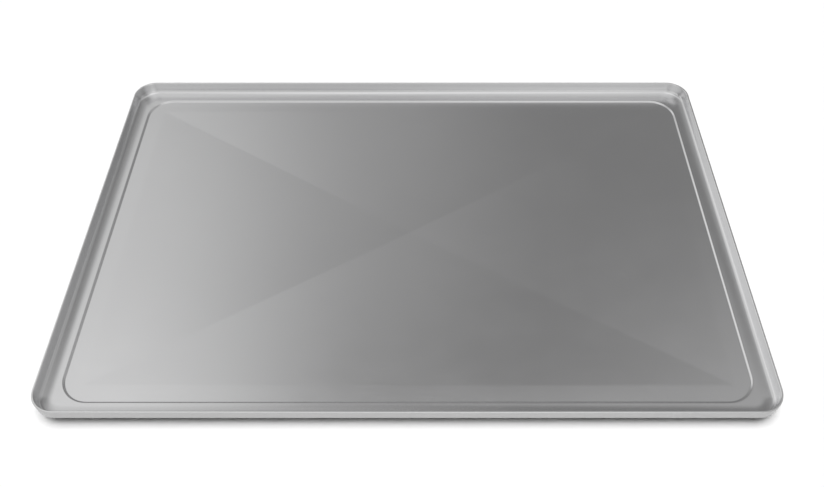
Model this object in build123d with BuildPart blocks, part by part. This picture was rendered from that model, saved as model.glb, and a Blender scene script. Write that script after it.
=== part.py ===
from build123d import *
from math import cos, radians, sin, tan
import os

# Baker's tray, pressed from one aluminium sheet. Millimetres and degrees.
# The origin is under the middle of the tray, at its lowest point. X runs along the long side,
# Y along the short side and Z up. Depths are those of the upper surface.

# Size over the rim, and the sheet
tray_length = 600.0
tray_width = 400.0
sheet = 2.0

# Rim and wall: the wall leans outwards by its draft and ends in a plain edge, broken on both sides
rim_corner_radius = 21.0
wall_draft = 1.5
rim_edge_share = 0.35

# Curve from wall to ledge: a tight bend at the foot, then a slow one that runs out flat
ledge_depth = 12.8
foot_radius = 4.0
dish_radius = 27.0
dish_slope = 18.0

# Panel: a step below a narrow flat ledge, then a flat border round the crease
ledge_width = 1.9
panel_step = 1.3
panel_corner_radius = 25.0
step_lean = 32.0
step_radius_share = 0.92
border_width = 15.0

# Cross crease: four flat facets that fall from the border to the middle of the tray
crease_drop = 4.6

# Heights of the upper surface
panel_height = sheet + crease_drop
ledge_height = panel_height + panel_step
rim_height = ledge_height + ledge_depth

# Wall section, from the rim inwards
dish_run = dish_radius * sin(radians(dish_slope))
dish_fall = dish_radius * (1 - cos(radians(dish_slope)))
foot_run = foot_radius * (cos(radians(wall_draft)) - sin(radians(dish_slope)))
foot_fall = foot_radius * (cos(radians(dish_slope)) - sin(radians(wall_draft)))
wall_run = (ledge_depth - foot_fall - dish_fall) * tan(radians(wall_draft))
rim_run = sheet * cos(radians(wall_draft))
rim_inner_x = tray_length / 2 - rim_run
ledge_inset = rim_run + wall_run + foot_run + dish_run
ledge_outer_x = tray_length / 2 - ledge_inset
rim_edge_radius = rim_edge_share * sheet

# Step section: a slope between two bends
step_radius = step_radius_share * panel_step
step_slope_run = panel_step * tan(radians(step_lean))
step_bend_run = step_radius * tan(radians((90 - step_lean) / 2))
step_inset = ledge_inset + ledge_width + step_bend_run
crease_inset = step_inset + step_slope_run + step_bend_run + border_width

# Middles of the rim's corner arcs
corner_x = tray_length / 2 - rim_corner_radius
corner_y = tray_width / 2 - rim_corner_radius

with BuildPart() as pressed_tray:
    # Rim, wall and curve: half a short side, a corner and half a long side, then mirrored twice
    with BuildSketch(Plane((0, corner_y, 0), x_dir=(1, 0, 0), z_dir=(0, -1, 0))) as wall_section:
        with BuildLine():
            dish = JernArc((ledge_outer_x, ledge_height), (1, 0), dish_radius, dish_slope)
            foot = JernArc(dish @ 1, dish % 1, foot_radius, 90 - wall_draft - dish_slope)
            Line(foot @ 1, (rim_inner_x, rim_height))
            offset(amount=sheet, side=Side.RIGHT)
        make_face()
        fillet(wall_section.vertices().sort_by(Axis.Y)[-2:], rim_edge_radius)
    extrude(amount=corner_y)
    revolve(wall_section.sketch, Axis((corner_x, corner_y, 0), (0, 0, 1)), revolution_arc=90)
    extrude(pressed_tray.faces().filter_by(Axis.X).sort_by(Axis.X)[0], amount=corner_x)
    mirror(about=Plane.YZ)
    mirror(about=Plane.XZ)

    # Ledge: the flat sheet that closes the ring
    with BuildSketch(Plane.XY.offset(ledge_height)):
        RectangleRounded(
            tray_length - 2 * ledge_inset,
            tray_width - 2 * ledge_inset,
            rim_corner_radius - ledge_inset,
        )
    extrude(amount=-sheet)

    # Panel: the underside stands down by one step, then the recess is sunk from above
    for face_height, mode in ((ledge_height - sheet, Mode.ADD), (ledge_height, Mode.SUBTRACT)):
        with BuildSketch(Plane.XY.offset(face_height)):
            RectangleRounded(
                tray_length - 2 * step_inset,
                tray_width - 2 * step_inset,
                panel_corner_radius,
            )
        extrude(amount=-panel_step, taper=step_lean, mode=mode)
        step_edges = pressed_tray.edges(Select.LAST).group_by(Axis.Z)
        fillet(step_edges[0] + step_edges[-1], step_radius)

    # Cross crease: the same shallow pyramid, point down, below and above the sheet
    for face_height, mode in ((panel_height - sheet, Mode.ADD), (panel_height, Mode.SUBTRACT)):
        with BuildSketch(Plane.XY.offset(face_height)) as crease_outline:
            Rectangle(tray_length - 2 * crease_inset, tray_width - 2 * crease_inset)
        apex = Vertex(0, 0, face_height - crease_drop)
        loft([crease_outline.sketch.face(), apex], ruled=True, mode=mode)

pressed_tray.part.label = "pressed_tray"
os.makedirs("parts", exist_ok=True)
export_step(pressed_tray.part, "parts/pressed_tray.step")
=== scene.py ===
from math import cos, radians, sin, tan

import bmesh
import bpy
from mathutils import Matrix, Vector


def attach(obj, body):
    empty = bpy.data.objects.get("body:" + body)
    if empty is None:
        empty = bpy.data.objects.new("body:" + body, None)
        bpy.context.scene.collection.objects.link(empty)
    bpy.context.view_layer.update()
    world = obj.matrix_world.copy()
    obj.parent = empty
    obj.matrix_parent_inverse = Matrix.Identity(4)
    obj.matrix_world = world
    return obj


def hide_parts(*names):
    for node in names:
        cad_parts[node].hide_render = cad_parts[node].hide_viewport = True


# Baker's tray, pressed from one aluminium sheet. Metres and degrees, in the same frame as the solid.
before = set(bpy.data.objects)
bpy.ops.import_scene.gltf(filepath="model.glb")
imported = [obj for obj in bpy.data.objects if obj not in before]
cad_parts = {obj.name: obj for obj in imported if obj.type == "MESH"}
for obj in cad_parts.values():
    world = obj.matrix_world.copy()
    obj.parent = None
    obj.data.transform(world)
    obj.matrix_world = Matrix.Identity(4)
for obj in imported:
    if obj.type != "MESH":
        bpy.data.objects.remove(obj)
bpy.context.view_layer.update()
print("frame loaded")


class Wire:  # an output socket that Python's operators work on
    def __init__(self, node, output=0):
        self.node = node
        self.socket = node.outputs[output]

    def math(self, operation, left, right):
        return make(self.node.id_data, "Math", {"operation": operation}, {0: left, 1: right})

    def __add__(self, other):
        return self.math("ADD", self, other)

    def __sub__(self, other):
        return self.math("SUBTRACT", self, other)

    def __rsub__(self, other):
        return self.math("SUBTRACT", other, self)

    def __mul__(self, other):
        return self.math("MULTIPLY", self, other)

    __radd__ = __add__
    __rmul__ = __mul__


def make(tree, kind, settings=None, inputs=None, output=0):
    node = tree.nodes.new("ShaderNode" + kind)
    for name, value in (settings or {}).items():
        setattr(node, name, value)
    for name, value in (inputs or {}).items():
        socket = node.inputs[name]
        if isinstance(value, Wire):
            tree.links.new(value.socket, socket)
        else:
            socket.default_value = value
    return Wire(node, output) if node.outputs else node


def smoothRange(tree, value, start, end, low=0.0, high=1.0):
    return make(
        tree, "MapRange", {"interpolation_type": "SMOOTHSTEP"},
        {"Value": value, "From Min": start, "From Max": end, "To Min": low, "To Max": high},
    )


def mixLevel(tree, share, first, second):
    return make(tree, "Mix", {"data_type": "FLOAT"}, {"Factor": share, "A": first, "B": second})


def tint(tree, share, first, second):
    return make(tree, "Mix", {"data_type": "RGBA"}, {0: share, 6: first, 7: second}, 2)


def dot(tree, first, second):
    return make(tree, "VectorMath", {"operation": "DOT_PRODUCT"}, {0: first, 1: second}, "Value")


def newTree(owner):
    owner.use_nodes = True
    owner.node_tree.nodes.clear()
    return owner.node_tree


view = dict(
    place=(0.0118, -0.4946, 0.5894),
    tiltUp=39.32,      # from straight down
    lens=35.0,
    sensor=36.0,
    shift=-0.0123,
    nearest=0.01,
)

camera = bpy.data.objects.new("camera", bpy.data.cameras.new("camera"))
bpy.context.scene.collection.objects.link(camera)
camera.location = view["place"]
camera.rotation_euler = (radians(view["tiltUp"]), 0, 0)
camera.data.lens = view["lens"]
camera.data.sensor_width = view["sensor"]
camera.data.sensor_fit = "HORIZONTAL"
camera.data.shift_x = view["shift"]
camera.data.clip_start = view["nearest"]
bpy.context.scene.camera = camera
bpy.context.scene.view_settings.view_transform = "Standard"
print("camera placed")


# The metal sees a soft dome of pale panels, and one lamp lights the table.
white = (1, 1, 1, 1)
studio = dict(
    ceiling=0.20,        # what the metal sees where no panel is
    panels=dict(         # bearing clockwise from +Y, height above the table, half width, strength
        lowFront=(180, 8, 40, 0.25),
        lowLeft=(300, 8, 40, 0.60),
        right=(75, 32, 38, 0.20),
        front=(150, 32, 42, 0.40),
        frontLeft=(225, 32, 38, 0.50),
        left=(270, 32, 24, 0.20),
        backLeft=(320, 42, 24, 0.30),
        back=(340, 42, 24, 0.15),
        highRight=(60, 54, 24, 0.15),
        highLeft=(300, 66, 24, 0.45),
        overheadFront=(180, 75, 32, 0.60),
        overheadBack=(40, 78, 22, 0.40),
    ),
    backdrop=1.0,
    backdropHeight=7,    # of the white band that the metal sees above the table's edge
    lamp=dict(power=3.5, spread=42, lean=4, height=1.0),
)


def lightStudio(look):
    world = bpy.data.worlds.new("studio")
    bpy.context.scene.world = world
    tree = newTree(world)
    toward = make(tree, "TexCoord", output="Generated")
    seen = look["ceiling"]
    for bearing, height, halfWidth, strength in look["panels"].values():
        around, up = radians(bearing), radians(height)
        middle = (sin(around) * cos(up), cos(around) * cos(up), sin(up))
        edge = cos(radians(halfWidth))
        seen = seen + smoothRange(tree, dot(tree, toward, middle), edge, 1.0, 0.0, strength)
    rise = make(tree, "SeparateXYZ", {}, {"Vector": toward}, "Z")
    band = smoothRange(tree, rise, 0.0, sin(radians(look["backdropHeight"])), 1.0, 0.0)
    ray = tree.nodes.new("ShaderNodeLightPath")
    level = mixLevel(tree, band, seen, look["backdrop"])
    level = mixLevel(tree, Wire(ray, "Is Camera Ray"), level, look["backdrop"])
    light = make(tree, "Background", {}, {"Color": white, "Strength": level})
    make(tree, "OutputWorld", {}, {"Surface": light})
    world.cycles_visibility.diffuse = False


def hangLamp(look):
    # lights the table only, from above, so that the shadow stays near the tray
    lamp = bpy.data.objects.new("tableLamp", bpy.data.lights.new("tableLamp", "SUN"))
    bpy.context.scene.collection.objects.link(lamp)
    lamp.data.energy = look["power"]
    lamp.data.angle = radians(look["spread"])
    lamp.rotation_euler = (radians(look["lean"]), 0, 0)
    lamp.location = (0, 0, look["height"])
    lamp.visible_glossy = False


lightStudio(studio)
hangLamp(studio["lamp"])


# Pale table that keeps the tray's shadow and is open from below.
table = dict(size=12.0, paper=0.90, glow=0.015)


def layTable(look):
    bm = bmesh.new()
    bmesh.ops.create_grid(bm, x_segments=1, y_segments=1, size=look["size"] / 2)
    mesh = bpy.data.meshes.new("table")
    bm.to_mesh(mesh)
    bm.free()
    ob = bpy.data.objects.new("table", mesh)
    bpy.context.scene.collection.objects.link(ob)
    paint = bpy.data.materials.new("tablePaper")
    tree = newTree(paint)
    paper = make(tree, "BsdfDiffuse", {}, {"Color": (look["paper"],) * 3 + (1,)})
    ray = tree.nodes.new("ShaderNodeLightPath")
    shown = Wire(ray, "Is Camera Ray") + Wire(ray, "Is Glossy Ray") + Wire(ray, "Is Transmission Ray")
    glow = make(tree, "Emission", {}, {"Color": white, "Strength": shown * look["glow"]})
    lit = make(tree, "AddShader", {}, {0: paper, 1: glow})
    under = make(tree, "NewGeometry", output="Backfacing")
    clear = make(tree, "BsdfTransparent")
    both = make(tree, "MixShader", {}, {0: under, 1: lit, 2: clear})
    make(tree, "OutputMaterial", {}, {"Surface": both})
    mesh.materials.append(paint)


layTable(table)
print("studio and table ready")


tray = dict(
    length=0.600,
    width=0.400,
    sheet=0.002,
    rimRadius=0.021,
    rimEdge=0.0007,       # broken edge of the rim
    wallDraft=1.5,
    ledgeDepth=0.0128,
    footRadius=0.004,
    dishRadius=0.027,
    dishSlope=18.0,
    ledgeWidth=0.0019,
    panelStep=0.0013,
    panelRadius=0.025,
    stepLean=32.0,
    stepBend=0.001196,
    borderWidth=0.015,
    creaseDrop=0.0046,
    creaseSoft=0.0012,    # half width of a fold
    cornerSegments=20,
    footSegments=12,
    dishSegments=10,
    stepSegments=5,
    creaseSegments=3,
    edgeSegments=4,
    wallShares=(0.1, 0.85, 0.05),    # of the wall's height, for its three rings
    hold=0.0003,          # narrow ring that keeps a flat flat
    sameHeight=0.000001,
)


def bend(radius, slopeFrom, slopeTo, segments):
    # the runs and falls of an arc that turns from one slope to another
    slopes = [slopeFrom + (slopeTo - slopeFrom) * i / segments for i in range(segments + 1)]
    return [
        (
            radius * abs(sin(radians(a)) - sin(radians(b))),
            radius * abs(cos(radians(a)) - cos(radians(b))),
        )
        for a, b in zip(slopes, slopes[1:])
    ]


def roundedFace(bm, length, width, height, radius=0.0, segments=1):
    corners = bmesh.ops.create_grid(bm, x_segments=1, y_segments=1, size=0.5)["verts"]
    bmesh.ops.scale(bm, verts=corners, vec=(length, width, 1))
    bmesh.ops.translate(bm, verts=corners, vec=(0, 0, height))
    if not radius:
        return corners[0].link_faces[0]
    rounded = bmesh.ops.bevel(
        bm, geom=corners, offset=radius, offset_type="OFFSET", segments=segments,
        profile=0.5, affect="VERTICES", material=-1,
    )
    return rounded["verts"][0].link_faces[0]


def followSection(bm, face, section):
    # insets the face along the section, which leaves a ring of faces behind for each step
    for run, fall in section:
        bmesh.ops.inset_individual(bm, faces=[face], thickness=run, depth=-fall, use_even_offset=True)


def openEdges(bm, height, tolerance):
    return [
        edge for edge in bm.edges
        if edge.is_boundary and all(abs(vert.co.z - height) < tolerance for vert in edge.verts)
    ]


def pressSurface(bm, size, depth):
    # one side of the sheet: the upper side at depth 0, the underside at the sheet's thickness
    draft, lean = radians(size["wallDraft"]), 90 - size["stepLean"]
    wallSlope = 90 - size["wallDraft"]
    panelHeight = size["sheet"] + size["creaseDrop"]
    ledgeHeight = panelHeight + size["panelStep"]
    foot = bend(size["footRadius"] + depth, wallSlope, size["dishSlope"], size["footSegments"])
    dish = bend(size["dishRadius"] + depth, size["dishSlope"], 0, size["dishSegments"])
    curveFall = sum(fall for run, fall in foot + dish) - depth
    wallFall = size["ledgeDepth"] - curveFall - depth * sin(draft)
    rimIn = (size["sheet"] - depth) * cos(draft)
    rimHeight = ledgeHeight + size["ledgeDepth"] - depth * sin(draft)
    wall = [(wallFall * tan(draft) * share, wallFall * share) for share in size["wallShares"]]
    flat = [(size["hold"], 0.0)]
    rim = roundedFace(
        bm, size["length"] - 2 * rimIn, size["width"] - 2 * rimIn, rimHeight,
        size["rimRadius"] - rimIn, size["cornerSegments"],
    )
    followSection(bm, rim, wall + foot + dish + flat)
    ledgeIn = rimIn + sum(run for run, fall in wall + foot + dish)
    bmesh.ops.delete(bm, geom=[rim], context="FACES_ONLY")

    # the panel's step, from the ledge down to the flat border
    top = bend(size["stepBend"], 0, lean, size["stepSegments"])
    bottom = bend(size["stepBend"], lean, 0, size["stepSegments"])
    slopeFall = size["panelStep"] - sum(fall for run, fall in top + bottom)
    slope = [(slopeFall / tan(radians(lean)), slopeFall)]
    panelIn = ledgeIn + size["ledgeWidth"] - size["hold"]
    panel = roundedFace(
        bm, size["length"] - 2 * panelIn, size["width"] - 2 * panelIn, ledgeHeight - depth,
        size["panelRadius"] + size["hold"], size["cornerSegments"],
    )
    followSection(bm, panel, flat + top + slope + bottom + flat)
    borderIn = panelIn + size["hold"] + sum(run for run, fall in top + slope + bottom)
    bmesh.ops.delete(bm, geom=[panel], context="FACES_ONLY")

    # the cross crease, with softened folds
    creaseIn = borderIn + size["borderWidth"]
    margin = 2 * size["creaseSoft"]
    crease = roundedFace(
        bm, size["length"] - 2 * (creaseIn - margin), size["width"] - 2 * (creaseIn - margin),
        panelHeight - depth,
    )
    followSection(bm, crease, [(margin, 0.0)])
    outline = list(crease.edges)
    middle = bmesh.ops.poke(bm, faces=[crease])["verts"]
    bmesh.ops.translate(bm, verts=middle, vec=(0, 0, -size["creaseDrop"]))
    folds = outline + list(middle[0].link_edges)
    bmesh.ops.bevel(
        bm, geom=folds, offset=size["creaseSoft"], offset_type="OFFSET",
        segments=size["creaseSegments"], profile=0.5, affect="EDGES", material=-1,
    )
    for height in (ledgeHeight, panelHeight):
        bmesh.ops.bridge_loops(bm, edges=openEdges(bm, height - depth, size["sameHeight"]))
    return openEdges(bm, rimHeight, size["sameHeight"])


def pressTray(size):
    bm = bmesh.new()
    rimEdges = pressSurface(bm, size, 0.0) + pressSurface(bm, size, size["sheet"])
    bmesh.ops.bridge_loops(bm, edges=rimEdges)
    bmesh.ops.recalc_face_normals(bm, faces=bm.faces)
    bmesh.ops.bevel(
        bm, geom=rimEdges, offset=size["rimEdge"], offset_type="OFFSET",
        segments=size["edgeSegments"], profile=0.5, affect="EDGES", material=-1,
    )
    for face in bm.faces:
        face.smooth = True

    # weighted by area, so that the flats stay flat right up to their folds
    normals = []
    for vert in bm.verts:
        pull = sum((face.normal * face.calc_area() for face in vert.link_faces), Vector())
        normals.append(pull.normalized())
    mesh = bpy.data.meshes.new("bakingTray")
    bm.to_mesh(mesh)
    bm.free()
    mesh.normals_split_custom_set_from_vertices(normals)
    ob = bpy.data.objects.new("bakingTray", mesh)
    bpy.context.scene.collection.objects.link(ob)
    return ob


bakingTray = pressTray(tray)
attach(bakingTray, "root")
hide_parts("pressed_tray")
print("tray pressed")


finish = dict(
    metal=(0.84, 0.84, 0.845, 1),
    paintedShadeOutside=(0.47, 0.47, 0.47, 1),       # painted shade: a darker colour on the outside and underside, for the darker floor they mirror
    bright=(0.93, 0.93, 0.93, 1),     # top of the rim, scratches and rubbed spots
    gloss=0.22,                       # roughness of the flat sheet
    drawnGloss=0.17,                  # walls, burnished by the die
    dullGloss=0.42,

    # the size of one streak or cloud, and how far it breaks up
    rollLines=(0.045, 0.00077, 0.045),    # along the sheet
    drawLines=(0.0016, 0.0016, 0.110),    # down the walls
    scratches=(0.110, 0.00040, 0.110),
    haze=(0.14, 0.09, 0.14),
    clouds=(0.026, 0.018, 0.026),
    detail=dict(lines=2.0, scratches=0.0, haze=3.0, clouds=4.0),
    scratchTurns=(11, 67, 142),
    noiseMiddle=0.5,

    # where each mark begins and where it is full
    outsideReach=(0.0, 0.06),
    undersideReach=0.15,                  # counts the underside as outside, and the top as inside
    steepness=(0.80, 0.30),               # of the upward part of the normal, squared
    rimHeight=(0.0200, 0.0205),
    scratchCrest=(0.74, 0.82),
    rackPitch=0.0254,
    rackWire=(0.0012, 0.0003),            # from the middle of a wire
    rubFacing=(-0.95, -0.99),
    rubHeight=(0.0054, 0.0049),
    rubClouds=(0.42, 0.60),

    # how strongly each mark shows
    colour=dict(haze=0.08, clouds=0.03, lines=0.04, rim=0.5, scratches=0.07, rubs=0.5),
    roughness=dict(haze=0.08, clouds=0.04, lines=0.05, scratches=0.03, rubs=0.08),
    relief=dict(depth=0.000003, clouds=0.8, scratches=0.4),
)


def streaks(tree, place, size, detail, turn=0.0):
    turned = make(
        tree, "Mapping", {"vector_type": "TEXTURE"},
        {"Vector": place, "Rotation": (0, 0, radians(turn)), "Scale": size},
    )
    return make(tree, "TexNoise", {}, {"Vector": turned, "Scale": 1.0, "Detail": detail})


def rollSheet(look):
    metal = bpy.data.materials.new("rolledAluminium")
    tree = newTree(metal)
    place = make(tree, "TexCoord", output="Object")
    normal = make(tree, "NewGeometry", output="Normal")
    facing = make(tree, "SeparateXYZ", {}, {"Vector": normal}, "Z")
    height = make(tree, "SeparateXYZ", {}, {"Vector": place}, "Z")
    across = make(tree, "SeparateXYZ", {}, {"Vector": place}, "X")

    # where on the sheet this is
    reach = dot(tree, place, normal) - facing * look["undersideReach"]
    outside = smoothRange(tree, reach, *look["outsideReach"])
    steep = smoothRange(tree, facing * facing, *look["steepness"])
    rim = smoothRange(tree, height, *look["rimHeight"])

    # rolling leaves lines along the sheet, and drawing leaves lines down the walls
    detail = look["detail"]
    rolled = streaks(tree, place, look["rollLines"], detail["lines"])
    drawn = streaks(tree, place, look["drawLines"], detail["lines"])
    lines = mixLevel(tree, steep, rolled, drawn)
    haze = streaks(tree, place, look["haze"], detail["haze"])
    cloud = streaks(tree, place, look["clouds"], detail["clouds"])
    scratch = 0.0
    for turn in look["scratchTurns"]:
        marks = streaks(tree, place, look["scratches"], detail["scratches"], turn)
        scratch = scratch + smoothRange(tree, marks, *look["scratchCrest"])

    # wires of the oven rack rub the underside, up to the border of the panel
    wire = across.math("PINGPONG", across, look["rackPitch"] / 2)
    rub = smoothRange(tree, wire, *look["rackWire"]) * smoothRange(tree, facing, *look["rubFacing"])
    rub = rub * smoothRange(tree, height, *look["rubHeight"])
    rub = rub * smoothRange(tree, cloud, *look["rubClouds"])

    hazeSwing = haze - look["noiseMiddle"]
    cloudSwing = cloud - look["noiseMiddle"]
    lineSwing = lines - look["noiseMiddle"]

    colour = look["colour"]
    mottle = hazeSwing * colour["haze"] + cloudSwing * colour["clouds"] + lineSwing * colour["lines"]
    # the top of the rim is coloured lighter by its height; scratches and rack rubs are lighter too
    rimTopAndWear = rim * colour["rim"] + scratch * colour["scratches"] + rub * colour["rubs"]
    # painted shade: the outside and underside are coloured darker, standing in for the darker floor they
    # mirror
    base = tint(tree, outside, look["metal"], look["paintedShadeOutside"])
    base = tint(tree, mottle, base, look["bright"])
    base = tint(tree, rimTopAndWear, base, look["bright"])

    rough = look["roughness"]
    gloss = mixLevel(tree, steep, look["gloss"], look["drawnGloss"])
    gloss = mixLevel(tree, outside, gloss, look["dullGloss"])
    gloss = gloss + hazeSwing * rough["haze"] + cloudSwing * rough["clouds"] + lineSwing * rough["lines"]
    gloss = gloss + scratch * rough["scratches"] - rub * rough["rubs"]

    relief = look["relief"]
    swell = lines + cloud * relief["clouds"] - scratch * relief["scratches"]
    bump = make(tree, "Bump", {}, {"Strength": 1.0, "Distance": relief["depth"], "Height": swell})
    shader = make(
        tree, "BsdfPrincipled", {},
        {"Metallic": 1.0, "Base Color": base, "Roughness": gloss, "Normal": bump},
    )
    make(tree, "OutputMaterial", {}, {"Surface": shader})
    return metal


bakingTray.data.materials.append(rollSheet(finish))
print("finish applied")
